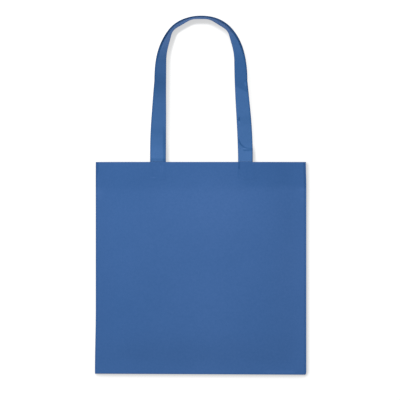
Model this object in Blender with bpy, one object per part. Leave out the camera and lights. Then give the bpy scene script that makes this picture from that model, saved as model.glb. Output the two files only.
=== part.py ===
"""Non-woven shopping bag lying flat on its back panel: metres, +Z up.

The bag lies in the XY plane with its mouth and its two handles towards +Y. The origin is in the
middle of the back panel, on its underside.

The body is one web of cloth. It starts at the free edge of the front hem, runs up inside the mouth,
folds over it, runs down as the front panel, folds at the bottom, runs up as the back panel and ends
as the back hem. Its two side edges are welded. The handles are two equal straps, each welded with
both ends inside the hem of its own panel. They lie flat at the mouth, turn along their legs and
stand on edge in the arch, the back one round the front one. Their inner edges lie on the floor and
follow a path with bends. Their outer edges rise from the feet to the arch, where they follow an oval.
"""

from math import acos, cos, pi, radians, sin

import bmesh
import bpy
from mathutils import Vector

# Body
BAG_WIDTH = 0.380
BAG_HEIGHT = 0.384
SHEET = 0.00045
LAYER_GAP = 0.0002
HEM_DEPTH = 0.046
HEM_TUCK = 0.0012
BODY_CLEAR = 0.0086
MOUTH_CLEAR = 0.0064
BOTTOM_CLEAR = 0.0004
FRONT_RIM = 0.086
BACK_RIM = 0.030
NECK = 0.055

# Side welds
SEAM_WIDTH = 0.004
SEAM_LIFT = 0.0029
SEAM_STEP = 0.0006
SEAM_SQUEEZE = 0.60

# Handles
STRAP_LENGTH = 0.653
STRAP_WIDTH = 0.030
STRAP_THICKNESS = 0.0010
STRAP_EDGE = 0.0008
STRAP_SPACING = 0.1610
STRAP_OFFSET = 0.0021
WELD_LENGTH = 0.031
RIGHT_LEAN = 0.0066
LIFT_OFF = 0.050
NEST_GAP = 0.0004
FIT = 0.0003
FLOOR_CLEAR = 0.0002

# The inner edge's arch from the middle of its crown down to a straight leg: a level piece, a bend, a
# straight shoulder that takes up what the spacing leaves, an elbow, a steep piece and a last bend
CROWN_LEVEL = 0.008
CROWN_BEND = 0.017
SHOULDER_TURN = radians(32)
ELBOW = 0.017
STEEP_TURN = radians(75)
STEEP_LENGTH = 0.0203
LEG_BEND = 0.0285

# The raised outer edge on the floor plan: half an oval round the arch, whose ends spread as legs to
# the feet, where each strap shows this wide
OVAL_DROP = 0.1141
OVAL_OUTSET = 0.0208
OVAL_SHIFT = 0.0012
OVAL_POWER = 2.29
CROWN_OUTSET = 0.0006
LEFT_FOOT_WIDTH = 0.0282
RIGHT_FOOT_WIDTH = 0.0258

# How finely the forms are cut into facets
RIM_STEPS = 7
FLAT_STEPS = 5
PANEL_STEPS = 7
NECK_STEPS = 4
HEM_STEPS = 4
FOLD_STEPS = 6
LEG_STEPS = 24
ARCH_STEPS = 48
WELD_STEPS = 2
TANGENT_STEP = 0.0005
SHARP_ANGLE = radians(40)

# Colour and finish, in linear light
BLUE = (0.053, 0.133, 0.328, 1.0)
ROUGHNESS = 0.85

# Places that follow from the sizes
MOUTH_Y = BAG_HEIGHT / 2
BOTTOM_Y = -BAG_HEIGHT / 2
SEAM_X = BAG_WIDTH / 2 - SEAM_WIDTH
HEM_STACK = SHEET + LAYER_GAP
HEM_FOLD_RADIUS = SHEET + LAYER_GAP / 2
BOTTOM_FOLD_RADIUS = SHEET + BOTTOM_CLEAR / 2
HEM_TOP_Y = MOUTH_Y - HEM_FOLD_RADIUS
HEM_END_Y = MOUTH_Y - HEM_DEPTH
PANEL_END_Y = BOTTOM_Y + BOTTOM_FOLD_RADIUS

LEFT_EDGE_X = STRAP_OFFSET - (STRAP_SPACING - STRAP_WIDTH) / 2
RIGHT_EDGE_X = STRAP_OFFSET + (STRAP_SPACING - STRAP_WIDTH) / 2
HALF_SPREAD = (RIGHT_EDGE_X - RIGHT_LEAN - LEFT_EDGE_X) / 2
ARCH_X = LEFT_EDGE_X + HALF_SPREAD
FREE_LENGTH = STRAP_LENGTH - 2 * WELD_LENGTH
NEST_PITCH = STRAP_THICKNESS + NEST_GAP


def clear_scene():
    """Removes every object of the open scene."""
    for item in list(bpy.data.objects):
        bpy.data.objects.remove(item, do_unlink=True)


def clamp(value):
    return min(max(value, 0.0), 1.0)


def rise(value):
    """A quarter wave from 0 to 1: steep at first and level at its end."""
    return sin(clamp(value) * pi / 2)


def ease(value):
    """A smooth step from 0 to 1: level at both ends."""
    share = clamp(value)
    return share * share * (3 - 2 * share)


def spread(start, end, steps, power=1.0):
    """Steps from start to end, closer together near the start where power is over 1."""
    return [start + (end - start) * (step / steps) ** power for step in range(steps + 1)]


# The body's surfaces

def hem_share(y):
    """1 beside the hem and 0 from a neck below it, for what the hem does to the panels."""
    return ease((y - (HEM_END_Y - NECK)) / NECK)


def seam_clear(y):
    """The room between the panels along the side welds, where the hems need their own."""
    beside_hem = 2 * HEM_STACK + LAYER_GAP
    return BOTTOM_CLEAR + (beside_hem - BOTTOM_CLEAR) * hem_share(y)


def back_z(x, y):
    """The underside of the back panel: on the floor, and lifted along the seams and the fold."""
    from_side = rise((SEAM_X - abs(x)) / BACK_RIM)
    from_fold = rise((y - PANEL_END_Y) / BACK_RIM)
    return SEAM_LIFT * (1 - from_side * from_fold)


def panel_clear(x, y):
    """The room between the inner faces of the two panels."""
    loft = BODY_CLEAR + (MOUTH_CLEAR + 2 * HEM_STACK - BODY_CLEAR) * hem_share(y)
    from_side = rise((SEAM_X - abs(x)) / FRONT_RIM)
    from_fold = rise((y - PANEL_END_Y) / FRONT_RIM)
    return seam_clear(y) + (loft - seam_clear(y)) * from_side * from_fold


def back_inside_z(x, y):
    return back_z(x, y) + SHEET


def front_inside_z(x, y):
    return back_inside_z(x, y) + panel_clear(x, y)


def drawn_in(x, y):
    """The side edges are drawn in a little towards the mouth, where the hem is welded in."""
    share = ease((y - HEM_END_Y) / HEM_DEPTH)
    return x * (1 - HEM_TUCK * share / (BAG_WIDTH / 2))


# The body's web

def panel_stations():
    """The places down a panel, from the top of the hem to the bottom fold."""
    hem = spread(HEM_TOP_Y, HEM_END_Y, HEM_STEPS)
    neck = spread(HEM_END_Y, HEM_END_Y - NECK, NECK_STEPS)
    rim = spread(PANEL_END_Y, PANEL_END_Y + FRONT_RIM, RIM_STEPS, 1.5)
    middle = spread(HEM_END_Y - NECK, PANEL_END_Y + FRONT_RIM, PANEL_STEPS)
    return hem + neck[1:] + middle[1:] + rim[-2::-1]


def half_web(x, sign):
    """One half of the web at one x, from its hem's free edge to the middle of the bottom fold.

    Gives two lists of points, for the side of the cloth that faces the slit behind the hem and
    for the other side. sign is 1 for the front half and -1 for the back half.
    """
    inside = front_inside_z if sign > 0 else back_inside_z
    stations = panel_stations()
    hem = stations[: HEM_STEPS + 1]
    slit, outer = [], []
    for y in reversed(hem):
        wall = inside(x, y)
        slit.append((y, wall - sign * LAYER_GAP))
        outer.append((y, wall - sign * HEM_STACK))
    middle = inside(x, HEM_TOP_Y) - sign * LAYER_GAP / 2
    for step in range(1, FOLD_STEPS):
        angle = -pi / 2 + pi * step / FOLD_STEPS
        for path, radius in ((slit, LAYER_GAP / 2), (outer, HEM_FOLD_RADIUS)):
            path.append((HEM_TOP_Y + radius * cos(angle), middle + sign * radius * sin(angle)))
    for y in stations:
        wall = inside(x, y)
        slit.append((y, wall))
        outer.append((y, wall + sign * SHEET))
    middle = inside(x, PANEL_END_Y) - sign * BOTTOM_CLEAR / 2
    for step in range(1, FOLD_STEPS // 2 + 1):
        angle = pi / 2 - pi * step / FOLD_STEPS
        for path, radius in ((slit, BOTTOM_CLEAR / 2), (outer, BOTTOM_FOLD_RADIUS)):
            path.append((PANEL_END_Y - radius * cos(angle), middle + sign * radius * sin(angle)))
    return slit, outer


def web_points(x):
    """The whole web at one x, as two lists of points from the front hem to the back hem."""
    front_slit, front_outer = half_web(x, 1)
    back_slit, back_outer = half_web(x, -1)
    slit = front_slit + back_slit[-2::-1]
    outer = front_outer + back_outer[-2::-1]
    return [[Vector((drawn_in(x, y), y, z)) for y, z in path] for path in (slit, outer)]


def add_strip(bm, first, second):
    """Quads between two rows of vertices of one length, or a triangle where they meet."""
    for low, high in zip(range(len(first) - 1), range(1, len(first))):
        corners = [first[low], first[high], second[high], second[low]]
        bm.faces.new(list(dict.fromkeys(corners)))


def close_pocket(bm, slit, outer):
    """The wall inside a side weld, between all the layers that lie on each other there."""
    crest = HEM_STEPS + FOLD_STEPS // 2
    base = HEM_STEPS + FOLD_STEPS + HEM_STEPS
    last = len(slit) - 1
    middle = last // 2
    add_strip(bm, outer[: crest + 1], outer[last: last - crest - 1: -1])
    add_strip(bm, slit[: crest + 1], slit[base: crest - 1: -1])
    add_strip(bm, slit[last: last - crest - 1: -1], slit[last - base: last - crest + 1])
    bm.faces.new([
        slit[base], slit[0], outer[0], outer[last], slit[last], slit[last - base],
        slit[last - base - 1], slit[base + 1],
    ])
    add_strip(bm, slit[base + 1: middle + 1], slit[last - base - 1: middle - 1: -1])


def add_weld(bm, outer, side):
    """The welded band along one side: a pressed strip from the pocket's wall to the cut edge."""
    crest = HEM_STEPS + FOLD_STEPS // 2
    last = len(outer) - 1
    middle = last // 2
    row = outer[crest: last - crest + 1]
    for x in (SEAM_X + SEAM_STEP, BAG_WIDTH / 2):
        edge = []
        for index, vertex in enumerate(row):
            opposite = row[len(row) - 1 - index]
            centre = (vertex.co.z + opposite.co.z) / 2
            z = edge_z(outer, crest + index, centre)
            y = vertex.co.y
            edge.append(bm.verts.new((side * drawn_in(x, y), y, z)))
        add_strip(bm, row, edge)
        add_strip(bm, [row[0], row[-1]], [edge[0], edge[-1]])
        row = edge
    half = middle - crest
    add_strip(bm, row[: half + 1], row[: half - 1: -1])


def edge_z(outer, index, centre):
    """The height on the pressed band beside one point of the web's outer side."""
    return centre + (outer[index].co.z - centre) * SEAM_SQUEEZE


def body_mesh():
    """The web, lofted from one side weld to the other, with its two welded bands."""
    rim = spread(SEAM_X, SEAM_X - FRONT_RIM, RIM_STEPS, 1.5)
    flat = spread(SEAM_X - FRONT_RIM, FRONT_RIM - SEAM_X, FLAT_STEPS)
    stations = [-x for x in rim] + flat[-2:0:-1] + rim[::-1]
    bm = bmesh.new()
    previous = None
    for x in stations:
        slit, outer = [[bm.verts.new(point) for point in path] for path in web_points(x)]
        if previous is None:
            close_pocket(bm, slit, outer)
            add_weld(bm, outer, -1)
        else:
            add_strip(bm, previous[0], slit)
            add_strip(bm, previous[1], outer)
            for end in (0, -1):
                add_strip(bm, [previous[0][end], previous[1][end]], [slit[end], outer[end]])
        previous = slit, outer
    close_pocket(bm, *previous)
    add_weld(bm, previous[1], 1)
    return finished_mesh(bm, "bag_body")


# The handles

def walk(length, first, last):
    """How far across and down a piece of the path leads as it turns evenly between two headings."""
    turn = last - first
    if not turn:
        return length * cos(first), length * sin(first)
    return length * (sin(last) - sin(first)) / turn, length * (cos(first) - cos(last)) / turn


def arch_pieces():
    """The pieces of the half arch, from its crown down: the length and both headings of each."""
    upper = [(CROWN_LEVEL, 0.0, 0.0), (CROWN_BEND, 0.0, SHOULDER_TURN)]
    lower = [
        (ELBOW, SHOULDER_TURN, STEEP_TURN),
        (STEEP_LENGTH, STEEP_TURN, STEEP_TURN),
        (LEG_BEND, STEEP_TURN, pi / 2),
    ]
    taken = sum(walk(*piece)[0] for piece in upper + lower)
    shoulder = (HALF_SPREAD - taken) / cos(SHOULDER_TURN)
    return upper + [(shoulder, SHOULDER_TURN, SHOULDER_TURN)] + lower


ARCH = arch_pieces()
LEG_LENGTH = FREE_LENGTH / 2 - sum(length for length, _, _ in ARCH)
CROWN_Y = MOUTH_Y + LEG_LENGTH + sum(walk(*piece)[1] for piece in ARCH)
OVAL_X = ARCH_X + OVAL_SHIFT
OVAL_Y = CROWN_Y - OVAL_DROP
OVAL_HALF_WIDTH = HALF_SPREAD + OVAL_OUTSET
OVAL_HEIGHT = OVAL_DROP + CROWN_OUTSET


def edge_point(along):
    """The inner edge of the straps on the floor plan, by the way along it from the left mouth."""
    side = 1 if along > FREE_LENGTH / 2 else -1
    left_over = abs(along - FREE_LENGTH / 2)
    across, down = 0.0, 0.0
    for length, first, last in ARCH:
        part = min(left_over, length)
        step_across, step_down = walk(part, first, first + (last - first) * part / length)
        across += step_across
        down += step_down
        left_over -= part
    lean = RIGHT_LEAN * ease(left_over / LEG_LENGTH) if side > 0 else 0.0
    return Vector((ARCH_X + side * across + lean, CROWN_Y - down - left_over, 0))


def ruling(along):
    """The way from the inner edge to the outer one on the floor plan: its direction and length.

    It points away from the oval's middle in the arch and straight sideways in the legs. Inside the
    hem the strap spreads out to its full width.
    """
    start = edge_point(along)
    from_middle = Vector((start.x - OVAL_X, max(start.y - OVAL_Y, 0), 0))
    outward = from_middle.normalized()
    across = abs(outward.x) / OVAL_HALF_WIDTH
    upward = outward.y / OVAL_HEIGHT
    oval = (across ** OVAL_POWER + upward ** OVAL_POWER) ** (-1 / OVAL_POWER)
    if along < FREE_LENGTH / 2:
        foot_x = LEFT_EDGE_X - LEFT_FOOT_WIDTH
    else:
        foot_x = RIGHT_EDGE_X + RIGHT_FOOT_WIDTH
    spread_at_foot = abs(foot_x - OVAL_X) - OVAL_HALF_WIDTH
    leg_share = (OVAL_Y - start.y) / (OVAL_Y - MOUTH_Y)
    shown = oval + spread_at_foot * rise(leg_share) - from_middle.length
    in_hem = ease(max(-along, along - FREE_LENGTH) / WELD_LENGTH)
    return outward, shown + (STRAP_WIDTH - shown) * in_hem


def strap_section(layer):
    """Places across the strap and through its thickness, round a section with rounded edges."""
    half = STRAP_THICKNESS / 2
    across = (STRAP_EDGE, STRAP_WIDTH / 2, STRAP_WIDTH - STRAP_EDGE)
    upper = [(place, half) for place in across]
    lower = [(place, -half) for place in reversed(across)]
    ring = [(0.0, 0.0)] + upper + [(STRAP_WIDTH, 0.0)] + lower
    return [(place, depth, layer * NEST_PITCH / 2 + depth) for place, depth in ring]


def hem_height(x, y, layer):
    """The middle of a strap's thickness where it lies on the inner face of its hem."""
    y = min(y, HEM_TOP_Y)
    room = HEM_STACK + FIT + STRAP_THICKNESS / 2
    if layer > 0:
        return front_inside_z(x, y) - room
    return back_inside_z(x, y) + room


def strap_ring(along, layer):
    """One ring of points round the strap, flat in the mouth and free beyond it."""
    outward, shown = ruling(along)
    angle = acos(min(max(shown / STRAP_WIDTH, -1), 1))
    up = Vector((0, 0, 1))
    across = outward * cos(angle) + up * sin(angle)
    tangent = edge_point(along + TANGENT_STEP) - edge_point(along - TANGENT_STEP)
    normal = tangent.cross(across).normalized()
    base_z = FLOOR_CLEAR + (NEST_PITCH + STRAP_THICKNESS) / 2 * normal.z
    start = edge_point(along) + up * base_z
    free = ease(min(along, FREE_LENGTH - along) / LIFT_OFF)
    ring = []
    for place, depth, offset in strap_section(layer):
        point = start + across * place + normal * offset
        flat_z = hem_height(point.x, point.y, layer) + depth
        point.z = flat_z + (point.z - flat_z) * free
        ring.append(point)
    return ring


def strap_stations():
    """The places along the strap, closer together where it turns and bends."""
    arch_end = FREE_LENGTH - LEG_LENGTH
    first_end = spread(-WELD_LENGTH, 0, WELD_STEPS)
    left_leg = spread(0, LEG_LENGTH, LEG_STEPS)
    arch = spread(LEG_LENGTH, arch_end, ARCH_STEPS)
    right_leg = spread(arch_end, FREE_LENGTH, LEG_STEPS)
    last_end = spread(FREE_LENGTH, FREE_LENGTH + WELD_LENGTH, WELD_STEPS)
    return first_end + left_leg[1:] + arch[1:] + right_leg[1:] + last_end[1:]


def strap_mesh(name, layer):
    """One strap as a closed band. layer is 1 for the front strap and -1 for the back one."""
    bm = bmesh.new()
    rings = [[bm.verts.new(point) for point in strap_ring(along, layer)]
             for along in strap_stations()]
    for first, second in zip(rings, rings[1:]):
        middle = len(first) // 2
        for rows in ((first[: middle + 1], second[: middle + 1]),
                     (first[:1] + first[: middle - 1: -1], second[:1] + second[: middle - 1: -1])):
            add_strip(bm, *rows)
    bm.faces.new(rings[0])
    bm.faces.new(rings[-1])
    return finished_mesh(bm, name)


# Objects and material

def finished_mesh(bm, name):
    """Turns the faces outwards and shades the curved ones smooth."""
    bmesh.ops.recalc_face_normals(bm, faces=bm.faces)
    mesh = bpy.data.meshes.new(name)
    bm.to_mesh(mesh)
    bm.free()
    mesh.shade_smooth()
    mesh.set_sharp_from_angle(angle=SHARP_ANGLE)
    return mesh


def non_woven(name):
    """Spun-bonded cloth: a matt blue."""
    material = bpy.data.materials.new(name)
    material.use_nodes = True
    shader = material.node_tree.nodes["Principled BSDF"]
    shader.inputs["Base Color"].default_value = BLUE
    shader.inputs["Roughness"].default_value = ROUGHNESS
    shader.inputs["Metallic"].default_value = 0.0
    return material


def add_object(mesh, parent):
    """Puts one named sub-part in the scene, with its own material."""
    item = bpy.data.objects.new(mesh.name, mesh)
    item.data.materials.append(non_woven(mesh.name + "_cloth"))
    item.parent = parent
    bpy.context.scene.collection.objects.link(item)


def build():
    clear_scene()
    bag = bpy.data.objects.new("bag", None)
    bpy.context.scene.collection.objects.link(bag)
    add_object(body_mesh(), bag)
    add_object(strap_mesh("front_handle", 1), bag)
    add_object(strap_mesh("back_handle", -1), bag)


build()
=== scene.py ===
"""The looks of a blue non-woven shopping bag that lies flat, seen from straight above.

Metres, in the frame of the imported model. The body is lofted as one thin web of cloth with its
folded hems and welded sides, and each handle as one folded strap that turns on its way to the
arch. Both have the waves, weld prints and creases of the real cloth as geometry, and its bonding
points and fibres as a procedural material.
"""

from math import pi, radians

import bmesh
import bpy
import numpy as np
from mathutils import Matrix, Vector


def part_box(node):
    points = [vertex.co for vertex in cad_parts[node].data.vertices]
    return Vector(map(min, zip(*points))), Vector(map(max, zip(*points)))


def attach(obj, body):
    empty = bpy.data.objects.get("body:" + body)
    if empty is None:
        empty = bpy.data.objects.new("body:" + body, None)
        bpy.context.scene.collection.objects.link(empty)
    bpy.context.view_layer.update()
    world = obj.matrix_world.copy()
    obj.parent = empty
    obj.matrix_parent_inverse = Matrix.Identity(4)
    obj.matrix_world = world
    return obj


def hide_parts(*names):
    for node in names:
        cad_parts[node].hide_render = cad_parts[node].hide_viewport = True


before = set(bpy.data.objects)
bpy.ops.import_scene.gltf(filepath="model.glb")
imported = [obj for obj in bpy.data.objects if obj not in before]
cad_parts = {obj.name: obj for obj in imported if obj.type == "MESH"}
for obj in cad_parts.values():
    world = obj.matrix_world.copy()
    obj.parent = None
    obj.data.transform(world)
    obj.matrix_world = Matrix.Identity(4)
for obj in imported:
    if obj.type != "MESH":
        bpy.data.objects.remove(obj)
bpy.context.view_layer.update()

# Sizes that the frame gives
BODY_LOW, BODY_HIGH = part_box("bag_body")
BAG_WIDTH = BODY_HIGH[0] - BODY_LOW[0]
MOUTH_Y = BODY_HIGH[1]
BOTTOM_Y = BODY_LOW[1]

# The body's sheet, hem, loft and welds
SHEET = 0.00045
LAYER_GAP = 0.0002
HEM_DEPTH = 0.046
BODY_CLEAR = 0.0086
MOUTH_CLEAR = 0.0064
BOTTOM_CLEAR = 0.0004
FRONT_RIM = 0.086
BACK_RIM = 0.030
NECK = 0.055
SEAM_WIDTH = 0.004
SEAM_LIFT = 0.0029
SEAM_STEP = 0.0006
SEAM_SQUEEZE = 0.60
WELD_PRESSED = 0.08
ROOM_EDGE = 0.030

# How the body's outline departs from a true rectangle
RIGHT_TUCK = 0.0009
RIGHT_SPREAD = 0.0006
LEFT_SPREAD = 0.0016
BOTTOM_SPREAD_DEPTH = 0.12
BOTTOM_TILT = 0.0018
BOTTOM_TILT_DEPTH = 0.10
BOTTOM_SINK = 0.0006
LEFT_CORNER = 0.0014
RIGHT_CORNER = 0.0032

# The straps
STRAP_LENGTH = 0.653
STRAP_WIDTH = 0.030
STRAP_THICKNESS = 0.0010
STRAP_EDGE = 0.0008
STRAP_SPACING = 0.1610
STRAP_OFFSET = 0.0021
WELD_LENGTH = 0.031
RIGHT_LEAN = 0.0066
LIFT_OFF = 0.050
NEST_GAP = 0.0004
FIT = 0.0003
FLOOR_CLEAR = 0.0002

# The inner edge's arch from the middle of its crown down to a straight leg: a level piece, a bend, a
# straight shoulder that takes up what the spacing leaves, an elbow, a steep piece and a last bend
CROWN_LEVEL = 0.008
CROWN_BEND = 0.017
SHOULDER_ANGLE = 32.0
ELBOW = 0.017
STEEP_ANGLE = 75.0
STEEP_LENGTH = 0.0203
LEG_BEND = 0.0285
PATH_STEP = 0.00025

# The raised outer edge on the floor plan: half an oval round the arch, whose ends spread as legs to
# the feet, where each strap shows this wide
OVAL_DROP = 0.1141
OVAL_OUTSET = 0.0208
OVAL_SHIFT = 0.0012
OVAL_POWER = 2.29
CROWN_OUTSET = 0.0006
LEFT_FOOT_WIDTH = 0.0282
RIGHT_FOOT_WIDTH = 0.0258

# Places that follow from the sizes
SIDE_X = BAG_WIDTH / 2
SEAM_X = SIDE_X - SEAM_WIDTH
HEM_STACK = SHEET + LAYER_GAP
HEM_FOLD_RADIUS = SHEET + LAYER_GAP / 2
BOTTOM_FOLD_RADIUS = SHEET + BOTTOM_CLEAR / 2
HEM_TOP_Y = MOUTH_Y - HEM_FOLD_RADIUS
HEM_END_Y = MOUTH_Y - HEM_DEPTH
PANEL_END_Y = BOTTOM_Y + BOTTOM_FOLD_RADIUS
LEFT_EDGE_X = STRAP_OFFSET - (STRAP_SPACING - STRAP_WIDTH) / 2
RIGHT_EDGE_X = STRAP_OFFSET + (STRAP_SPACING - STRAP_WIDTH) / 2
HALF_SPREAD = (RIGHT_EDGE_X - RIGHT_LEAN - LEFT_EDGE_X) / 2
FREE_LENGTH = STRAP_LENGTH - 2 * WELD_LENGTH
NEST_PITCH = STRAP_THICKNESS + NEST_GAP

# The photograph's frame: its scale on the floor, and the point in its middle
PIXEL = 0.00181
PICTURE_SIDE = 400
PICTURE_CENTRE = Vector((-0.0016, 0.1233, 0))
CAMERA_HEIGHT = 3.0
SENSOR = 36.0

# Waves: how strong they are, the seed that they are drawn from, their length, and how much closer
# together they are along x
PANEL_WAVES = (0.00055, 11, 0.16, 1.0)
PANEL_RIPPLES = (0.00016, 12, 0.045, 1.0)
WELD_PUCKERS = (0.00012, 13, 0.013, 0.2)
BACK_WAVES = (1.0, 21, 0.09, 1.0)
STRAP_WAVES = (0.00022, 32, 0.055, 1.2)
EDGE_WAVES = (0.14, 33, 0.05, 1.0)
TONE_WAVES = (0.015, 41, 0.15, 1.0)
WAVE_COUNT = 7
WAVE_SPREAD = (0.7, 1.5)
WAVE_PEAK = 1.5

# The front panel's relief at the hem's lower edge, the welded strap ends and the side welds, and how
# far the back panel's waves rise
HEM_LINE_DEPTH = 0.00014
HEM_LINE_STEP = (HEM_END_Y + 0.001, HEM_END_Y - 0.006)
HEM_LINE_FADE = (HEM_END_Y - 0.030, HEM_END_Y)
HEM_WAVE_HEIGHT = 0.00018
HEM_WAVE_LENGTH = 0.052
HEM_WAVE_PHASE = 0.6
HEM_WAVE_REACH = 0.016
PRINT_HEIGHT = 0.00020
PRINT_SHOULDER = 0.0022
PUCKER_REACH = 0.022
BACK_LIFT = 0.0001

# The tone changes red most and blue least, so that where the tone is lighter the cloth also looks
# paler: a painted sheen
BODY_COLOUR = (0.0515, 0.133, 0.338)
STRAP_COLOUR = (0.0415, 0.1090, 0.2620)
TONE_POWERS = (1.75, 1.0, 0.77)
PRESSED_AND_SHADE_DARKENING = 0.70

# The body's tone, and broad changes of it: painted shade over the hem, on the lower half, towards the
# lower right, on the left part and along the left edge, a darker right part of the hem and a darker
# weld strip along the right edge of the hem; each with the places along x and along y where it sets in
# and where it is full
BODY_TONE = 1.005
PRINT_TONE = -0.018
HEM_ENDS = (HEM_END_Y - 0.002, HEM_END_Y + 0.002)
BODY_TONES_AND_PAINTED_SHADE = {
    "hem": (-0.045, None, (HEM_END_Y - 0.012, HEM_END_Y + 0.008)),
    "right part of the hem": (-0.05, (0.055, 0.085), (HEM_END_Y - 0.004, HEM_END_Y + 0.008)),
    "right edge of the hem": (-0.07, (SIDE_X - 0.0045, SIDE_X - 0.0020), HEM_ENDS),
    "lower half": (-0.025, None, (0.02, -0.15)),
    "lower right": (-0.02, (0.02, 0.18), (0.0, -0.17)),
    "left part": (-0.05, (-0.03, -0.17), None),
    "left edge": (-0.13, (-SIDE_X + 0.0020, -SIDE_X + 0.0008), (-0.04, 0.0)),
}

# Painted highlights on the front panel: change of tone, middle, and reach along x and y
BODY_PAINTED_HIGHLIGHTS = {
    "upper middle": (0.05, (0.0, 0.10), (0.16, 0.10)),
    "left side below the hem": (0.08, (-0.1830, 0.1350), (0.012, 0.016)),
    "right side below the hem": (0.08, (0.1830, 0.1415), (0.010, 0.006)),
    "right side further down": (0.07, (0.1850, 0.1235), (0.009, 0.005)),
}

# Marks of the front panel: a painted shadow along the right strap's edge and painted shade below it,
# lighter lines at the left weld, and painted highlights at the left weld's end and along the bottom
# edge; each with its change of tone, how far it spreads, and its line on the floor plan
BODY_MARKS_AND_PAINTED_LIGHT = {
    "right strap's edge": (-0.36, 0.0019, ((0.0690, MOUTH_Y), (0.0690, MOUTH_Y - 0.012))),
    "below that edge": (-0.08, 0.0022, ((0.0684, MOUTH_Y - 0.010), (0.0670, MOUTH_Y - 0.027))),
    "left weld": (0.12, 0.0014, ((-0.0722, MOUTH_Y - 0.007), (-0.0722, MOUTH_Y - 0.018))),
    "beside it": (0.12, 0.0014, ((-0.0686, MOUTH_Y - 0.007), (-0.0686, MOUTH_Y - 0.018))),
    "left weld's end": (0.10, 0.0016, ((-0.0905, 0.1640), (-0.0830, 0.1640))),
    "above the bottom edge": (0.07, 0.0024, ((0.0880, -0.1806), (0.1300, -0.1806))),
    "along the bottom edge": (0.08, 0.0018, ((0.1150, -0.1876), (0.1660, -0.1870))),
}

# The hem's dark margin on the left, which narrows downwards
MARGIN_TONE = -0.13
MARGIN_WIDTH = 0.0065
MARGIN_LOSS = 0.0040
MARGIN_NARROWS = (0.176, 0.162)
MARGIN_SOFT = 0.0020

# The straps' tone, with painted shade below the arch: on the right it sets in up from a slanting fold
STRAP_TONE = 0.97
SHADE_TONE = -0.17
SHADE_TOP = (0.402, 0.368)
SHADE_LEFT_END = (0.296, 0.336)
FOLD_PLACE = (0.0635, 0.3260)
FOLD_SLOPE = -0.55
FOLD_SOFT = 0.004

# Further painted light and shade on it: painted light at the feet, just inside the mouth against its
# shade, round the arch, on the left shoulder and on the crown, and painted shade on the left foot at
# the mouth and along the left leg's inner side; each with the side, change of tone, and the places
# where it sets in and where it is full, along x and along y
STRAP_PAINTED_LIGHT_AND_SHADE = {
    "feet": ("both", 0.05, None, (0.226, 0.210)),
    "left foot at the mouth": ("left", -0.13, None, (0.1995, 0.1975)),
    "inside the mouth": ("both", 0.20, None, (0.1948, 0.1934)),
    "left of the arch": ("left", 0.26, None, (0.380, 0.415)),
    "right of the arch": ("right", 0.26, None, (0.400, 0.435)),
    "left shoulder": ("left", 0.12, None, (0.335, 0.365)),
    "crown": ("both", 0.15, None, (0.428, 0.442)),
    "left leg's inner side": (
        "left", -0.20, (LEFT_EDGE_X - 0.0060, LEFT_EDGE_X - 0.0040), (0.262, 0.232),
    ),
}

# Soft bands of painted shade across a strap, and one of painted light right of the crown: the side,
# change of tone, and its middle and reach along y
STRAP_PAINTED_BANDS = {
    "left of the crown": ("left", -0.08, 0.436, 0.014),
    "right of the crown": ("right", 0.11, 0.433, 0.014),
    "left leg": ("left", -0.06, 0.247, 0.013),
    "right leg": ("right", -0.07, 0.268, 0.016),
}

# The painted shade along the folded edge round the outside of the arch: as wide as it shows from
# above, the most of the strap's own width that it and its fading side take, and where it is wider on
# the right shoulder
ARCH_EDGE = 0.0011
SHOULDER_EDGE = 0.0007
WIDEST_EDGE = 0.0042
WIDEST_FADE = 0.0030
SHOULDER_WAY = 0.056
SHOULDER_REACH = 0.035
SHOULDER_WIDENING = 0.6
ARCH_STARTS = (0.55, 0.69)

# The darker outer edges of the legs and the darker inner edge
LEG_EDGE_DARKENING = 0.22
LEG_EDGE = (STRAP_WIDTH - 0.0024, STRAP_WIDTH - 0.0012)
INNER_EDGE_DARKENING = 0.20
INNER_EDGE = (0.0012, 0.0004)

# Creases near the right foot, as lines on the floor plan
CREASE_WIDTH = 0.0024
RIGHT_CREASES = (
    ((0.0682, 0.2322), (0.0715, 0.2246), (0.0770, 0.2188), (0.0845, 0.2160), (0.0934, 0.2156)),
    ((0.0780, 0.2134), (0.0860, 0.2135), (0.0943, 0.2137)),
    ((0.0692, 0.2718), (0.0692, 0.2672)),
)
RIGHT_RIDGES = (
    ((0.0772, 0.2164), (0.0840, 0.2153), (0.0925, 0.2146)),
    ((0.0692, 0.2645), (0.0694, 0.2628)),
    ((0.0795, 0.3340), (0.0804, 0.3285)),
)
CREASE_DEPTH = 0.00035
# Painted shade in the creases and a painted highlight on the ridges, on top of their relief
CREASE_PAINTED_SHADE = -0.34
RIDGE_PAINTED_HIGHLIGHT = 0.238
MOUTH_FADE = 0.020

# The cloth's grain: fine and broad clouds and fibres, with their shares in the tone
CLOUD_SCALE = 260.0
CLOUD_SHARE = 0.16
BROAD_SCALE = 9.0
BROAD_SHARE = 0.10
FIBRE_SCALES = (2600.0, 420.0, 1.0)
FIBRE_BEND = 1.2
FIBRE_SHARE = 0.14
FIBRE_RELIEF = 0.35

# Its bonding points, and how it takes the light
POINT_PITCH = 0.0011
POINT_LEVEL = 0.35
POINT_EDGE = 1.9
POINT_SHARE = 0.07
ROUGHNESS = 0.86
POINT_SMOOTHER = 0.22
PRESSED_SMOOTHER = 0.20
SPECULAR = 0.07
SHEEN = 0.015
SHEEN_ROUGHNESS = 0.5
GRAIN_STRENGTH = 0.35
GRAIN_HEIGHT = 0.00006

# Light: the world's even share, and what the floor gives back and shows
WORLD_LIGHT = 0.30
FLOOR_BOUNCE = 0.35
FLOOR_COLOUR = 0.22
FLOOR_GLOW = 0.88
FLOOR_ROUGHNESS = 0.9
FLOOR_HALF = 12.0
FLOOR_Z = -0.0001
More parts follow.
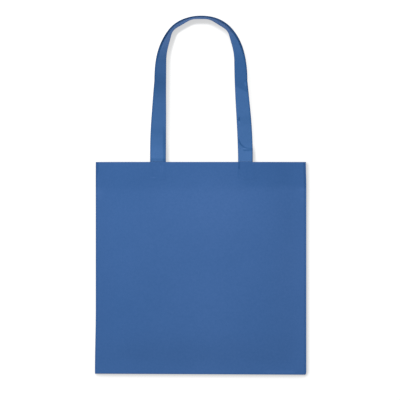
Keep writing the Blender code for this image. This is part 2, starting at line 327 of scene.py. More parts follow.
# The floor's painted contact shadow: how far it reaches, the side it looks to, how deep it gets, how
# dark at most, and its samples
CONTACT_REACH = 0.011
CONTACT_SIDE = Vector((-0.68, 0.68, 0.27))
CONTACT_DEPTH = 1.50
CONTACT_DARKEST = 0.32
CONTACT_SAMPLES = 32

# Lamps: place, target, length of a side, power in watts, and whether they light the straps alone
LAMPS = {
    "overhead": ((-0.8, 1.1, 2.4), (0, 0.1, 0), 1.5, 66.0, False),
    "low_left": ((-2.3, -1.3, 1.15), (0, 0.3, 0), 1.2, 40.0, True),
    "low_right": ((2.3, -1.3, 1.15), (0, 0.3, 0), 1.2, 62.0, True),
}

# How finely the meshes are cut
CLOTH_STEP = 0.0042
HEM_STEP = 0.0016
PRINT_STEP = 0.0014
PRINT_MARGIN = 0.0030
SEAM_MARGIN = 0.0030
SEAM_STATIONS = np.array([0.0, 0.0008, 0.0018])
FOLD_STEPS = 8
WELD_STEP_SHARES = np.array([0.35, 0.7, 1.0])
WELD_BAND_STEPS = 6
STRAP_STEP = 0.0010
STRAP_ACROSS = 30
STRAP_FOLD_ANGLES = (22, 45, 68)
HEADING_STEP = 0.003
SHARP_ANGLE = radians(50)


def clamp(value):
    """The value, kept between 0 and 1."""
    return np.clip(value, 0.0, 1.0)


def rise(value):
    """A quarter wave from 0 to 1: steep at first and level at its end."""
    return np.sin(clamp(value) * pi / 2)


def ease(value):
    """A smooth step from 0 to 1: level at both ends."""
    share = clamp(value)
    return share * share * (3 - 2 * share)


def bump(value):
    """A soft hill, 1 in the middle and 0 from -1 and 1 outwards."""
    return 1 - ease(np.abs(value))


def set_in(value, places):
    """A smooth step from 0 at the first place to 1 at the second. Without places it is 1."""
    if places is None:
        return 1.0
    start, full = places
    return ease((value - start) / (full - start))


def waves(x, y, kind):
    """Smooth irregular waves of one kind, the same at every run."""
    height, seed, wavelength, squeeze = kind
    random = np.random.default_rng(seed)
    total = 0.0
    for _ in range(WAVE_COUNT):
        angle = random.uniform(0, 2 * pi)
        length = wavelength * random.uniform(*WAVE_SPREAD)
        phase = random.uniform(0, 2 * pi)
        way = x * squeeze * np.cos(angle) + y * np.sin(angle)
        total = total + np.sin(2 * pi * way / length + phase)
    return height * total / WAVE_COUNT ** 0.5 / WAVE_PEAK


def along_line(x, y, line, width):
    """1 on a line of points on the floor plan, falling softly to 0 at this distance from it."""
    nearest = np.full(np.shape(x), 1.0)
    for (x0, y0), (x1, y1) in zip(line, line[1:]):
        run_x, run_y = x1 - x0, y1 - y0
        share = clamp(((x - x0) * run_x + (y - y0) * run_y) / (run_x ** 2 + run_y ** 2))
        nearest = np.minimum(nearest, np.hypot(x - x0 - share * run_x, y - y0 - share * run_y))
    return bump(nearest / width)


def steps(start, end, step):
    """Even places from start to end, about one step apart."""
    return np.linspace(start, end, max(int(round(abs(end - start) / step)), 1) + 1)


# The body's surfaces

def hem_share(y):
    """0 on the panel and 1 from the hem's lower edge upwards."""
    return ease((y - (HEM_END_Y - NECK)) / NECK)


def seam_clear(y):
    """How far the panels lie apart at the side seams."""
    beside_hem = 2 * HEM_STACK + LAYER_GAP
    return BOTTOM_CLEAR + (beside_hem - BOTTOM_CLEAR) * hem_share(y)


def back_z(x, y):
    """The back panel's underside, which rises to the seams and the bottom fold."""
    from_side = rise((SEAM_X - np.abs(x)) / BACK_RIM)
    from_fold = rise((y - PANEL_END_Y) / BACK_RIM)
    return SEAM_LIFT * (1 - from_side * from_fold)


def panel_clear(x, y):
    """How far the panels lie apart."""
    loft = BODY_CLEAR + (MOUTH_CLEAR + 2 * HEM_STACK - BODY_CLEAR) * hem_share(y)
    from_side = rise((SEAM_X - np.abs(x)) / FRONT_RIM)
    from_fold = rise((y - PANEL_END_Y) / FRONT_RIM)
    return seam_clear(y) + (loft - seam_clear(y)) * from_side * from_fold


def room_share(x, y):
    """1 where the panels lie apart and 0 at the seams and the fold."""
    return ease((SEAM_X - np.abs(x)) / ROOM_EDGE) * ease((y - PANEL_END_Y) / ROOM_EDGE)


def weld_print(x, y):
    """1 where a strap's welded end lies behind the panel, with soft shoulders."""
    along = ease((y - (MOUTH_Y - WELD_LENGTH - PRINT_SHOULDER)) / PRINT_SHOULDER)
    total = 0.0
    for edge, side in ((LEFT_EDGE_X, -1), (RIGHT_EDGE_X, 1)):
        from_middle = np.abs(x - edge - side * STRAP_WIDTH / 2)
        across = ease((STRAP_WIDTH / 2 + PRINT_SHOULDER - from_middle) / PRINT_SHOULDER)
        total = total + across * along
    return total


def front_relief(x, y):
    """The front panel's departures from its smooth loft."""
    relief = waves(x, y, PANEL_WAVES) + waves(x, y, PANEL_RIPPLES)
    relief -= HEM_LINE_DEPTH * set_in(y, HEM_LINE_STEP) * set_in(y, HEM_LINE_FADE)
    across_hem = np.sin(2 * pi * x / HEM_WAVE_LENGTH + HEM_WAVE_PHASE)
    relief += HEM_WAVE_HEIGHT * across_hem * bump((y - HEM_END_Y) / HEM_WAVE_REACH)
    relief += PRINT_HEIGHT * weld_print(x, y)
    relief += waves(x, y, WELD_PUCKERS) * ease(1 - (SEAM_X - np.abs(x)) / PUCKER_REACH)
    return relief * room_share(x, y)


def back_relief(x, y):
    """The back panel lies on the floor, so its waves only rise."""
    return BACK_LIFT * (1 + waves(x, y, BACK_WAVES)).clip(0, 2) * room_share(x, y)


def body_tone(points):
    """How light the cloth is: random tone and a darker print over the welded straps, with painted
    shade over the hem, towards the bottom and on the left, a painted shadow by the right strap's edge,
    and painted highlights.
    """
    x, y = points[:, 0], points[:, 1]
    tone = BODY_TONE + waves(x, y, TONE_WAVES) + PRINT_TONE * weld_print(x, y)
    for change, along_x, along_y in BODY_TONES_AND_PAINTED_SHADE.values():
        tone += change * set_in(x, along_x) * set_in(y, along_y)
    margin = MARGIN_WIDTH - MARGIN_LOSS * set_in(y, MARGIN_NARROWS)
    tone += MARGIN_TONE * ease((margin - (x + SIDE_X)) / MARGIN_SOFT) * set_in(y, HEM_ENDS)
    for change, middle, reach in BODY_PAINTED_HIGHLIGHTS.values():
        tone += change * bump(np.hypot((x - middle[0]) / reach[0], (y - middle[1]) / reach[1]))
    for change, width, line in BODY_MARKS_AND_PAINTED_LIGHT.values():
        tone += change * along_line(x, y, line, width)
    return tone


def wall_z(x, y, sign):
    """The inner face of one panel."""
    back = back_z(x, y) + SHEET
    if sign > 0:
        return back + panel_clear(x, y) + front_relief(x, y)
    return back + back_relief(x, y)


def lie_of_edges(points):
    """Draws the right side in at the hem, spreads the sides and tilts the edge at the bottom."""
    x, y = points[:, 0].copy(), points[:, 1].copy()
    right, left = clamp(x / SIDE_X), clamp(-x / SIDE_X)
    x -= RIGHT_TUCK * right * ease((y - HEM_END_Y) / HEM_DEPTH)
    low = ease((BOTTOM_SPREAD_DEPTH - (y - BOTTOM_Y)) / BOTTOM_SPREAD_DEPTH)
    x += RIGHT_SPREAD * right - LEFT_SPREAD * left * low
    near_bottom = ease((BOTTOM_TILT_DEPTH - (y - BOTTOM_Y)) / BOTTOM_TILT_DEPTH)
    y += near_bottom * (BOTTOM_TILT / 2 * (1 - x / SIDE_X) - BOTTOM_SINK)
    for side, radius in ((-1, LEFT_CORNER), (1, RIGHT_CORNER)):
        centre_x = side * (SIDE_X - radius) + (RIGHT_SPREAD if side > 0 else -LEFT_SPREAD)
        centre_y = BOTTOM_Y + (BOTTOM_TILT if side < 0 else 0.0) - BOTTOM_SINK + radius
        across, down = (x - centre_x) * side, centre_y - y
        corner = (across > 0) & (down > 0)
        length = np.maximum(np.hypot(across, down), 1e-9)
        shrink = np.where(corner, np.maximum(across, down) / length, 1.0)
        x = np.where(corner, centre_x + (x - centre_x) * shrink, x)
        y = np.where(corner, centre_y + (y - centre_y) * shrink, y)
    points[:, 0], points[:, 1] = x, y
    return points


# The body's mesh

def half_path():
    """One half of the web's section: for each point the y of its wall, its own y and its offset.

    It runs from the hem's free edge to the middle of the bottom fold, once for the side of the
    cloth that faces the slit behind the hem and once for the other side.
    """
    hem = steps(HEM_TOP_Y, HEM_END_Y, HEM_STEP)
    panel = steps(HEM_END_Y, PANEL_END_Y, CLOTH_STEP)
    slit, outer = [], []
    for y in hem[::-1]:
        slit.append((y, y, -LAYER_GAP))
        outer.append((y, y, -HEM_STACK))
    for step in range(1, FOLD_STEPS):
        angle = -pi / 2 + pi * step / FOLD_STEPS
        for path, radius in ((slit, LAYER_GAP / 2), (outer, HEM_FOLD_RADIUS)):
            path.append((HEM_TOP_Y, HEM_TOP_Y + radius * np.cos(angle),
                         radius * np.sin(angle) - LAYER_GAP / 2))
    for y in np.concatenate([hem, panel[1:]]):
        slit.append((y, y, 0.0))
        outer.append((y, y, SHEET))
    for step in range(1, FOLD_STEPS // 2 + 1):
        angle = pi / 2 - pi * step / FOLD_STEPS
        for path, radius in ((slit, BOTTOM_CLEAR / 2), (outer, BOTTOM_FOLD_RADIUS)):
            path.append((PANEL_END_Y, PANEL_END_Y - radius * np.cos(angle),
                         radius * np.sin(angle) - BOTTOM_CLEAR / 2))
    return [np.array(path) for path in (slit, outer)], len(hem) - 1


def web_rows(x, halves):
    """The slit side and the outer side of the web at one x, from the front hem to the back hem."""
    rows = []
    for skin in (0, 1):
        parts = []
        for sign in (1, -1):
            path = halves[skin]
            z = wall_z(np.full(len(path), x), path[:, 0], sign) + sign * path[:, 2]
            parts.append(np.column_stack([np.full(len(path), x), path[:, 1], z]))
        rows.append(np.concatenate([parts[0], parts[1][-2::-1]]))
    return rows


class Mesher:
    """Collects points with their place on the flat cloth, and faces."""

    def __init__(self):
        self.points = []
        self.cloth = []
        self.pressed_and_shade = []
        self.faces = []
        self.count = 0

    def row(self, points, cloth, pressed_and_shade):
        """Adds a row of points and returns their numbers."""
        start = self.count
        self.count += len(points)
        self.points.append(np.asarray(points, dtype=float))
        self.cloth.append(np.asarray(cloth, dtype=float))
        self.pressed_and_shade.append(np.broadcast_to(pressed_and_shade, len(points)))
        return list(range(start, self.count))

    def strip(self, first, second):
        """Adds the faces between two rows of equal length."""
        for a, b, c, d in zip(first, first[1:], second[1:], second):
            self.faces.append(list(dict.fromkeys((a, b, c, d))))

    def mesh(self, name, tone_of, shape=None):
        """Makes the mesh. The tone is taken where the points lie before they are shaped."""
        points = np.concatenate(self.points)
        tone_and_painted_light = tone_of(points)
        if shape:
            points = shape(points)
        mesh = bpy.data.meshes.new(name)
        mesh.from_pydata(points.tolist(), [], self.faces)
        place = mesh.attributes.new("cloth", "FLOAT_VECTOR", "POINT")
        place.data.foreach_set("vector", np.concatenate(self.cloth).astype(np.float32).ravel())
        pressed_and_shade = mesh.attributes.new("pressed_and_shade", "FLOAT", "POINT")
        pressed_and_shade.data.foreach_set("value", np.concatenate(self.pressed_and_shade).astype(np.float32))
        # The tone holds painted light and shade as well as the cloth's own tone
        tone = mesh.attributes.new("tone", "FLOAT", "POINT")
        tone.data.foreach_set("value", tone_and_painted_light.astype(np.float32))
        faces = bmesh.new()
        faces.from_mesh(mesh)
        bmesh.ops.recalc_face_normals(faces, faces=faces.faces)
        faces.to_mesh(mesh)
        faces.free()
        mesh.shade_smooth()
        mesh.set_sharp_from_angle(angle=SHARP_ANGLE)
        return mesh


def close_pocket(maker, slit, outer, hem_steps):
    """The wall inside a side weld, between all the layers that lie on each other there."""
    crest = hem_steps + FOLD_STEPS // 2
    base = hem_steps + FOLD_STEPS + hem_steps
    last = len(slit) - 1
    middle = last // 2
    maker.strip(outer[: crest + 1], outer[last: last - crest - 1: -1])
    maker.strip(slit[: crest + 1], slit[base: crest - 1: -1])
    maker.strip(slit[last: last - crest - 1: -1], slit[last - base: last - crest + 1])
    maker.faces.append([
        slit[base], slit[0], outer[0], outer[last], slit[last], slit[last - base],
        slit[last - base - 1], slit[base + 1],
    ])
    maker.strip(slit[base + 1: middle + 1], slit[last - base - 1: middle - 1: -1])


def add_weld(maker, outer, outer_points, side, hem_steps, seam_places):
    """The welded band along one side, pressed flat, to its cut edge."""
    crest = hem_steps + FOLD_STEPS // 2
    last = len(outer) - 1
    middle = last // 2
    row = outer[crest: last - crest + 1]
    points = outer_points[crest: last - crest + 1]
    centre = (points[:, 2] + points[::-1, 2]) / 2
    for x in seam_places:
        squeeze = 1 - (1 - SEAM_SQUEEZE) * ease((x - SEAM_X) / SEAM_STEP)
        z = centre + (points[:, 2] - centre) * squeeze
        band = np.column_stack([np.full(len(row), side * x), points[:, 1], z])
        edge = maker.row(band, band, WELD_PRESSED * ease((x - SEAM_X) / SEAM_STEP))
        maker.strip(row, edge)
        maker.strip([row[0], row[-1]], [edge[0], edge[-1]])
        row = edge
    half = middle - crest
    maker.strip(row[: half + 1], row[: half - 1: -1])


def body_mesh():
    """The whole web: its rows from side to side, the pocket's walls and the welded bands."""
    halves, hem_steps = half_path()
    left_print = LEFT_EDGE_X - STRAP_WIDTH - PRINT_MARGIN
    right_print = RIGHT_EDGE_X + STRAP_WIDTH + PRINT_MARGIN
    stations = np.concatenate([
        -SEAM_X + SEAM_STATIONS,
        steps(-SEAM_X + SEAM_MARGIN, left_print, CLOTH_STEP),
        steps(left_print, LEFT_EDGE_X + PRINT_MARGIN, PRINT_STEP)[1:],
        steps(LEFT_EDGE_X + PRINT_MARGIN, RIGHT_EDGE_X - PRINT_MARGIN, CLOTH_STEP)[1:],
        steps(RIGHT_EDGE_X - PRINT_MARGIN, right_print, PRINT_STEP)[1:],
        steps(right_print, SEAM_X - SEAM_MARGIN, CLOTH_STEP)[1:],
        SEAM_X - SEAM_STATIONS[::-1],
    ])
    seam_places = np.concatenate([
        SEAM_X + SEAM_STEP * WELD_STEP_SHARES,
        np.linspace(SEAM_X + SEAM_STEP, SIDE_X, WELD_BAND_STEPS)[1:],
    ])
    maker = Mesher()
    previous = None
    for x in stations:
        slit_points, outer_points = web_rows(x, halves)
        slit = maker.row(slit_points, slit_points, 0.0)
        outer = maker.row(outer_points, outer_points, 0.0)
        if previous is None:
            close_pocket(maker, slit, outer, hem_steps)
            add_weld(maker, outer, outer_points, -1, hem_steps, seam_places)
        else:
            maker.strip(previous[0], slit)
            maker.strip(previous[1], outer)
            for end in (0, -1):
                maker.strip([previous[0][end], previous[1][end]], [slit[end], outer[end]])
        previous = slit, outer
    close_pocket(maker, *previous, hem_steps)
    add_weld(maker, previous[1], outer_points, 1, hem_steps, seam_places)
    return maker.mesh("bag_body_cloth", body_tone, lie_of_edges)


# The straps

def bend_spread(length, first, last):
    """How far sideways a bend of even curvature leads, between two headings in degrees."""
    return length * (np.sin(radians(last)) - np.sin(radians(first))) / radians(last - first)


def edge_path():
    """The inner edge of the straps on the floor plan: ways from the left mouth, and points."""
    shoulder = HALF_SPREAD - CROWN_LEVEL - bend_spread(CROWN_BEND, 0, SHOULDER_ANGLE)
    shoulder -= bend_spread(ELBOW, SHOULDER_ANGLE, STEEP_ANGLE)
    shoulder -= STEEP_LENGTH * np.cos(radians(STEEP_ANGLE)) + bend_spread(LEG_BEND, STEEP_ANGLE, 90)
    shoulder /= np.cos(radians(SHOULDER_ANGLE))
    lengths = (0, CROWN_LEVEL, CROWN_BEND, shoulder, ELBOW, STEEP_LENGTH, LEG_BEND)
    headings = (0, 0, SHOULDER_ANGLE, SHOULDER_ANGLE, STEEP_ANGLE, STEEP_ANGLE, 90)
    count = int(round(FREE_LENGTH / PATH_STEP))
    way = np.linspace(0, FREE_LENGTH, count + 1)
    middle = (way[1:] + way[:-1]) / 2 - FREE_LENGTH / 2
    heading = np.radians(np.interp(np.abs(middle), np.cumsum(lengths), headings))
    step = FREE_LENGTH / count
    x = np.concatenate([[0], np.cumsum(np.cos(heading))]) * step
    y = np.concatenate([[0], np.cumsum(-np.sign(middle) * np.sin(heading))]) * step
    past_arch = way - FREE_LENGTH / 2 - sum(lengths)
    leg = FREE_LENGTH / 2 - sum(lengths)
    return way, LEFT_EDGE_X + x + RIGHT_LEAN * ease(past_arch / leg), MOUTH_Y + y


PATH = edge_path()
CROWN_Y = PATH[2].max()
OVAL_X = LEFT_EDGE_X + HALF_SPREAD + OVAL_SHIFT
OVAL_Y = CROWN_Y - OVAL_DROP
OVAL_HALF_WIDTH = HALF_SPREAD + OVAL_OUTSET
OVAL_HEIGHT = OVAL_DROP + CROWN_OUTSET


def edge_points(along):
    """Points of the inner edge, continued straight down into the hems at both ends."""
    way, x, y = PATH
    inside = np.clip(along, 0, FREE_LENGTH)
    below = np.maximum(-along, 0) + np.maximum(along - FREE_LENGTH, 0)
    return np.column_stack([np.interp(inside, way, x), np.interp(inside, way, y) - below])


def rulings(along):
    """The ways from the inner edge to the outer one on the floor plan: directions and lengths.

    They point away from the oval's middle in the arch and straight sideways in the legs. Inside the
    hem the strap spreads out to its full width.
    """
    start = edge_points(along)
    from_middle = np.column_stack([start[:, 0] - OVAL_X, np.maximum(start[:, 1] - OVAL_Y, 0)])
    distance = np.linalg.norm(from_middle, axis=1)
    outward = from_middle / distance[:, None]
    across = np.abs(outward[:, 0]) / OVAL_HALF_WIDTH
    upward = outward[:, 1] / OVAL_HEIGHT
    oval = (across ** OVAL_POWER + upward ** OVAL_POWER) ** (-1 / OVAL_POWER)
    on_left = along < FREE_LENGTH / 2
    foot_x = np.where(on_left, LEFT_EDGE_X - LEFT_FOOT_WIDTH, RIGHT_EDGE_X + RIGHT_FOOT_WIDTH)
    spread_at_foot = np.abs(foot_x - OVAL_X) - OVAL_HALF_WIDTH
    leg_share = (OVAL_Y - start[:, 1]) / (OVAL_Y - MOUTH_Y)
    shown = oval + spread_at_foot * rise(leg_share) - distance
    in_hem = ease(np.maximum(-along, along - FREE_LENGTH) / WELD_LENGTH)
    return outward, shown + (STRAP_WIDTH - shown) * in_hem


def hem_height(x, y, layer):
    """The middle of a strap's thickness where it lies on the inner face of its hem."""
    y = np.minimum(y, HEM_TOP_Y)
    room = HEM_STACK + FIT + STRAP_THICKNESS / 2
    back = back_z(x, y) + SHEET
    if layer > 0:
        return back + panel_clear(x, y) - room
    return back + room


def strap_section():
    """Places across the strap and depths through it, round a section with folded edges."""
    half = STRAP_THICKNESS / 2
    fold = [(STRAP_EDGE * (1 - np.cos(a)), half * np.sin(a)) for a in np.radians(STRAP_FOLD_ANGLES)]
    inner = [(0.0, 0.0)] + fold
    flat = [(place, half) for place in
            np.linspace(STRAP_EDGE, STRAP_WIDTH - STRAP_EDGE, STRAP_ACROSS + 1)]
    outer = [(STRAP_WIDTH - place, depth) for place, depth in reversed(inner)]
    upper = inner + flat + outer
    lower = [(place, -depth) for place, depth in upper[-2:0:-1]]
    return np.array(upper + lower), len(upper)


def crease_shares(x, y):
    """How far into a crease, and onto a ridge, points of the straps lie."""
    return [sum(along_line(x, y, line, CREASE_WIDTH) for line in lines)
            for lines in (RIGHT_CREASES, RIGHT_RIDGES)]


def strap_relief(along, points):
    """Soft waves and creases over the whole thickness of a strap, free of the mouth."""
    x, y = points[:, 0], points[:, 1]
    crease, ridge = crease_shares(x, y)
    relief = waves(x, y, STRAP_WAVES) + CREASE_DEPTH * (ridge - crease)
    return relief * ease(np.minimum(along, FREE_LENGTH - along) / MOUTH_FADE)


def strap_edges_and_painted_shade(along, place, shown):
    """How dark and smooth the edges are: painted shade along the outer edge round the arch, and darker
    edges along the legs and the inner edge.
    """
    from_end = np.minimum(along, FREE_LENGTH - along) / (FREE_LENGTH / 2)
    in_arch = set_in(from_end, ARCH_STARTS)
    right_shoulder = bump((along - FREE_LENGTH / 2 - SHOULDER_WAY) / SHOULDER_REACH)
    seen_width = (ARCH_EDGE + SHOULDER_EDGE * right_shoulder) * STRAP_WIDTH / shown
    width = np.minimum(seen_width, WIDEST_EDGE * (1 + SHOULDER_WIDENING * right_shoulder))
    # Painted shade along the outer edge round the arch
    arch_edge_shade = 1 - ease((STRAP_WIDTH - place - width) / WIDEST_FADE)
    uneven = 1 - EDGE_WAVES[0] + waves(along, 0.0, EDGE_WAVES)
    pressed_and_shade = arch_edge_shade * in_arch * uneven
    pressed_and_shade += LEG_EDGE_DARKENING * set_in(place, LEG_EDGE) * (1 - in_arch)
    return clamp(pressed_and_shade + INNER_EDGE_DARKENING * set_in(place, INNER_EDGE))


def strap_tone(points):
    """How light the straps are: painted shade below the arch, at the mouth and in the creases, painted
    light on the ridges, at the feet and round the arch.
    """
    x, y = points[:, 0], points[:, 1]
    on_right = x > OVAL_X
    share = {"left": ~on_right, "right": on_right, "both": 1.0}
    fold_y = FOLD_PLACE[1] + FOLD_SLOPE * (x - FOLD_PLACE[0])
    low_end = np.where(on_right, ease((y - fold_y) / FOLD_SOFT), set_in(y, SHADE_LEFT_END))
    tone = STRAP_TONE + SHADE_TONE * low_end * set_in(y, SHADE_TOP)
    for side, change, along_x, along_y in STRAP_PAINTED_LIGHT_AND_SHADE.values():
        tone += change * share[side] * set_in(x, along_x) * set_in(y, along_y)
    for side, change, middle, reach in STRAP_PAINTED_BANDS.values():
        tone += change * share[side] * bump((y - middle) / reach)
    crease, ridge = crease_shares(x, y)
    return tone + CREASE_PAINTED_SHADE * crease + RIDGE_PAINTED_HIGHLIGHT * ridge


def strap_mesh(name, layer):
    """One strap as a closed band. layer is 1 for the front strap and -1 for the back one."""
    section, upper_count = strap_section()
    along = np.concatenate([
        steps(-WELD_LENGTH, 0, STRAP_STEP),
        steps(0, FREE_LENGTH, STRAP_STEP)[1:],
        steps(FREE_LENGTH, FREE_LENGTH + WELD_LENGTH, STRAP_STEP)[1:],
    ])
    tangent = edge_points(along + HEADING_STEP) - edge_points(along - HEADING_STEP)
    tangent /= np.linalg.norm(tangent, axis=1)[:, None]
    outward, shown = rulings(along)
    turn = np.arccos(np.clip(shown / STRAP_WIDTH, -1, 1))
    across = np.column_stack([outward * np.cos(turn)[:, None], np.sin(turn)])
    normal = np.cross(np.column_stack([tangent, np.zeros(len(along))]), across)
    normal /= np.linalg.norm(normal, axis=1)[:, None]
    base_z = FLOOR_CLEAR + (NEST_PITCH + STRAP_THICKNESS) / 2 * normal[:, 2]
    start = np.column_stack([edge_points(along), base_z])
    free = ease(np.minimum(along, FREE_LENGTH - along) / LIFT_OFF)
    maker = Mesher()
    rings = []
    for index in range(len(along)):
        place, depth = section[:, 0], section[:, 1]
        points = start[index] + place[:, None] * across[index]
        lift = layer * NEST_PITCH / 2 + depth + strap_relief(along[index], points)
        points = points + lift[:, None] * normal[index]
        flat_z = hem_height(points[:, 0], points[:, 1], layer) + depth
        points[:, 2] = flat_z + (points[:, 2] - flat_z) * free[index]
        cloth = np.column_stack([place, np.full(len(place), along[index]), depth])
        pressed_and_shade = strap_edges_and_painted_shade(along[index], place, shown[index])
        rings.append(maker.row(points, cloth, pressed_and_shade))
    for first, second in zip(rings, rings[1:]):
        maker.strip(first + first[:1], second + second[:1])
    for ring in (rings[0], rings[-1]):
        upper, lower = ring[:upper_count], ring[:1] + ring[: upper_count - 2: -1]
        maker.strip(upper, lower)
    return maker.mesh(name, strap_tone)


# Material

def node(tree, kind, **settings):
    """A new node with these settings."""
    made = tree.nodes.new(kind)
    for name, value in settings.items():
        setattr(made, name, value)
    return made


def math(tree, operation, first, second=None, clamped=False):
    """A Math node whose inputs are sockets or numbers."""
    made = node(tree, "ShaderNodeMath", operation=operation, use_clamp=clamped)
    for index, value in enumerate((first, second)):
        if value is None:
            continue
        if isinstance(value, (int, float)):
            made.inputs[index].default_value = value
        else:
            tree.links.new(value, made.inputs[index])
    return made.outputs[0]


def seen_rays(tree):
    """1 for the rays that show a surface, straight or through gloss, and 0 for those that light."""
    path = node(tree, "ShaderNodeLightPath")
    seen = math(tree, "MAXIMUM", path.outputs["Is Camera Ray"], path.outputs["Is Glossy Ray"])
    return math(tree, "MAXIMUM", seen, path.outputs["Is Transmission Ray"])


def bonding_points(tree, vector):
    """A staggered grid of small pressed points, 1 in each point."""
    separate = node(tree, "ShaderNodeSeparateXYZ")
    tree.links.new(vector, separate.inputs[0])
    x = math(tree, "MULTIPLY", separate.outputs["X"], pi / POINT_PITCH)
    y = math(tree, "MULTIPLY", separate.outputs["Y"], pi / POINT_PITCH)
    first = math(tree, "COSINE", math(tree, "ADD", x, y))
    second = math(tree, "COSINE", math(tree, "SUBTRACT", x, y))
    both = math(tree, "MULTIPLY", first, second)
    raised = math(tree, "SUBTRACT", both, POINT_LEVEL)
    return math(tree, "MULTIPLY", raised, POINT_EDGE, clamped=True)


def noise(tree, vector, scale, detail, distortion=0.0):
    """An even noise texture's value."""
    made = node(tree, "ShaderNodeTexNoise")
    made.inputs["Scale"].default_value = scale
    made.inputs["Detail"].default_value = detail
    made.inputs["Distortion"].default_value = distortion
    tree.links.new(vector, made.inputs["Vector"])
    return made.outputs[0]


def cloth_material(name, colour):
    """Spun-bonded cloth: matt, slightly mottled, with fine fibres and pressed bonding points."""
    material = bpy.data.materials.new(name)
    material.use_nodes = True
    tree = material.node_tree
    shader = tree.nodes["Principled BSDF"]
    place = node(tree, "ShaderNodeAttribute", attribute_name="cloth").outputs["Vector"]
    pressed_and_shade = node(tree, "ShaderNodeAttribute", attribute_name="pressed_and_shade").outputs["Fac"]
    tone_and_painted_light = node(tree, "ShaderNodeAttribute", attribute_name="tone").outputs["Fac"]
    points = bonding_points(tree, place)
    cloud = noise(tree, place, CLOUD_SCALE, detail=4.0)
    broad = noise(tree, place, BROAD_SCALE, detail=2.0)
    stretch = node(tree, "ShaderNodeMapping")
    stretch.inputs["Scale"].default_value = FIBRE_SCALES
    tree.links.new(place, stretch.inputs["Vector"])
    fibre = noise(tree, stretch.outputs[0], 1.0, detail=3.0, distortion=FIBRE_BEND)

    tone = 1.0
    for texture, share in ((cloud, CLOUD_SHARE), (broad, BROAD_SHARE), (fibre, FIBRE_SHARE)):
        change = math(tree, "MULTIPLY", math(tree, "SUBTRACT", texture, 0.5), share)
        tone = math(tree, "ADD", tone, change)
    tone = math(tree, "SUBTRACT", tone, math(tree, "MULTIPLY", points, POINT_SHARE))
    # Darker at the pressed welds, the darker strap edges and the painted shade round the arch
    darkening = math(tree, "MULTIPLY", pressed_and_shade, PRESSED_AND_SHADE_DARKENING)
    tone = math(tree, "MULTIPLY", tone, math(tree, "SUBTRACT", 1.0, darkening))
    # The tone attribute brings in the painted light and shade
    tone = math(tree, "MULTIPLY", tone, tone_and_painted_light)
    tinted = node(tree, "ShaderNodeCombineColor")
    for channel, (value, power) in enumerate(zip(colour, TONE_POWERS)):
        level = math(tree, "MULTIPLY", math(tree, "POWER", tone, power), value)
        tree.links.new(level, tinted.inputs[channel])
    tree.links.new(tinted.outputs[0], shader.inputs["Base Color"])

    rough = math(tree, "SUBTRACT", ROUGHNESS, math(tree, "MULTIPLY", points, POINT_SMOOTHER))
    rough = math(tree, "SUBTRACT", rough, math(tree, "MULTIPLY", pressed_and_shade, PRESSED_SMOOTHER))
    tree.links.new(rough, shader.inputs["Roughness"])
    shader.inputs["Specular IOR Level"].default_value = SPECULAR
    shader.inputs["Sheen Weight"].default_value = SHEEN
    shader.inputs["Sheen Roughness"].default_value = SHEEN_ROUGHNESS

    height = math(tree, "SUBTRACT", math(tree, "MULTIPLY", fibre, FIBRE_RELIEF), points)
    grain = node(tree, "ShaderNodeBump")
    grain.inputs["Strength"].default_value = GRAIN_STRENGTH
    grain.inputs["Distance"].default_value = GRAIN_HEIGHT
    tree.links.new(height, grain.inputs["Height"])
    tree.links.new(grain.outputs[0], shader.inputs["Normal"])
    return material


# Pieces, stage, light and camera

def add_piece(mesh, material, replaced):
    """Puts a piece in the scene in place of the model's node of the same sub-part."""
    piece = bpy.data.objects.new(mesh.name, mesh)
    bpy.context.scene.collection.objects.link(piece)
    mesh.materials.append(material)
    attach(piece, "root")
    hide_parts(replaced)
    return piece


def contact_shade(tree):
    """A painted contact shadow: 1 on the open floor, falling just beside what stands on its lit side.
    """
    side = node(tree, "ShaderNodeCombineXYZ")
    for channel, value in enumerate(CONTACT_SIDE.normalized()):
        side.inputs[channel].default_value = value
    shade = node(tree, "ShaderNodeAmbientOcclusion", samples=CONTACT_SAMPLES)
    shade.inputs["Distance"].default_value = CONTACT_REACH
    tree.links.new(side.outputs[0], shade.inputs["Normal"])
    hidden = math(tree, "SUBTRACT", 1.0, shade.outputs["AO"])
    darkness = math(tree, "MINIMUM", math(tree, "MULTIPLY", hidden, CONTACT_DEPTH), CONTACT_DARKEST)
    return math(tree, "SUBTRACT", 1.0, darkness)


def add_floor():
    """A white floor that keeps the object's real shadow from the lamps, with a painted contact shadow
    beside the object.
    """
    mesh = bpy.data.meshes.new("floor")
    corners = [(x * FLOOR_HALF, y * FLOOR_HALF, 0) for x, y in ((-1, -1), (1, -1), (1, 1), (-1, 1))]
    mesh.from_pydata(corners, [], [(0, 1, 2, 3)])
    floor = bpy.data.objects.new("floor", mesh)
    bpy.context.scene.collection.objects.link(floor)
    floor.location.z = FLOOR_Z
    material = bpy.data.materials.new("white_floor")
    material.use_nodes = True
    tree = material.node_tree
    shader = tree.nodes["Principled BSDF"]
    seen = seen_rays(tree)
    shade = contact_shade(tree)
    shown = math(tree, "MULTIPLY", shade, FLOOR_COLOUR)
    extra = math(tree, "MULTIPLY", seen, math(tree, "SUBTRACT", shown, FLOOR_BOUNCE))
    level = math(tree, "ADD", extra, FLOOR_BOUNCE)
    grey = node(tree, "ShaderNodeCombineColor")
    for channel in range(3):
        tree.links.new(level, grey.inputs[channel])
    tree.links.new(grey.outputs[0], shader.inputs["Base Color"])
    shader.inputs["Roughness"].default_value = FLOOR_ROUGHNESS
    shader.inputs["Specular IOR Level"].default_value = 0.0
    shader.inputs["Emission Color"].default_value = (1, 1, 1, 1)
    glow = math(tree, "MULTIPLY", math(tree, "MULTIPLY", seen, shade), FLOOR_GLOW)
    tree.links.new(glow, shader.inputs["Emission Strength"])
    mesh.materials.append(material)


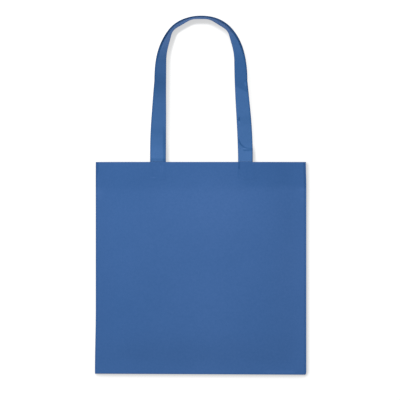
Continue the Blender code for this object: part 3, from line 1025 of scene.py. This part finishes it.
def group_of(name, pieces):
    """A collection of pieces that a lamp can be told to light alone."""
    group = bpy.data.collections.new(name)
    for piece in pieces:
        group.objects.link(piece)
    return group


def add_lamp(name, place, target, size, power, lights):
    """A soft square lamp that points to a target, and lights this collection alone if there is one."""
    lamp = bpy.data.lights.new(name, "AREA")
    lamp.shape = "SQUARE"
    lamp.size = size
    lamp.energy = power
    item = bpy.data.objects.new(name, lamp)
    item.location = place
    item.rotation_euler = (Vector(target) - Vector(place)).to_track_quat("-Z", "Y").to_euler()
    if lights:
        item.light_linking.receiver_collection = lights
    bpy.context.scene.collection.objects.link(item)


def add_world(strength):
    """Even light from all round; the camera sees it as white."""
    world = bpy.data.worlds.new("studio")
    world.use_nodes = True
    bpy.context.scene.world = world
    tree = world.node_tree
    back = tree.nodes["Background"]
    back.inputs["Color"].default_value = (1, 1, 1, 1)
    seen = seen_rays(tree)
    extra = math(tree, "MULTIPLY", seen, 1 - strength)
    tree.links.new(math(tree, "ADD", extra, strength), back.inputs["Strength"])


def add_camera():
    """The camera, straight above, with the photograph's frame on the floor."""
    camera = bpy.data.cameras.new("camera")
    camera.sensor_width = SENSOR
    camera.lens = SENSOR * CAMERA_HEIGHT / (PIXEL * PICTURE_SIDE)
    item = bpy.data.objects.new("camera", camera)
    item.location = PICTURE_CENTRE + Vector((0, 0, CAMERA_HEIGHT))
    bpy.context.scene.collection.objects.link(item)
    bpy.context.scene.camera = item


body_cloth = cloth_material("body_cloth", BODY_COLOUR)
strap_cloth = cloth_material("strap_cloth", STRAP_COLOUR)

body = add_piece(body_mesh(), body_cloth, "bag_body")
front = add_piece(strap_mesh("front_strap", 1), strap_cloth, "front_handle")
back = add_piece(strap_mesh("back_strap", -1), strap_cloth, "back_handle")

add_floor()
add_world(WORLD_LIGHT)
straps = group_of("straps", [front, back])
for lamp_name, (place, target, size, power, straps_only) in LAMPS.items():
    add_lamp(lamp_name, place, target, size, power, straps if straps_only else None)
add_camera()
bpy.context.scene.view_settings.view_transform = "Standard"
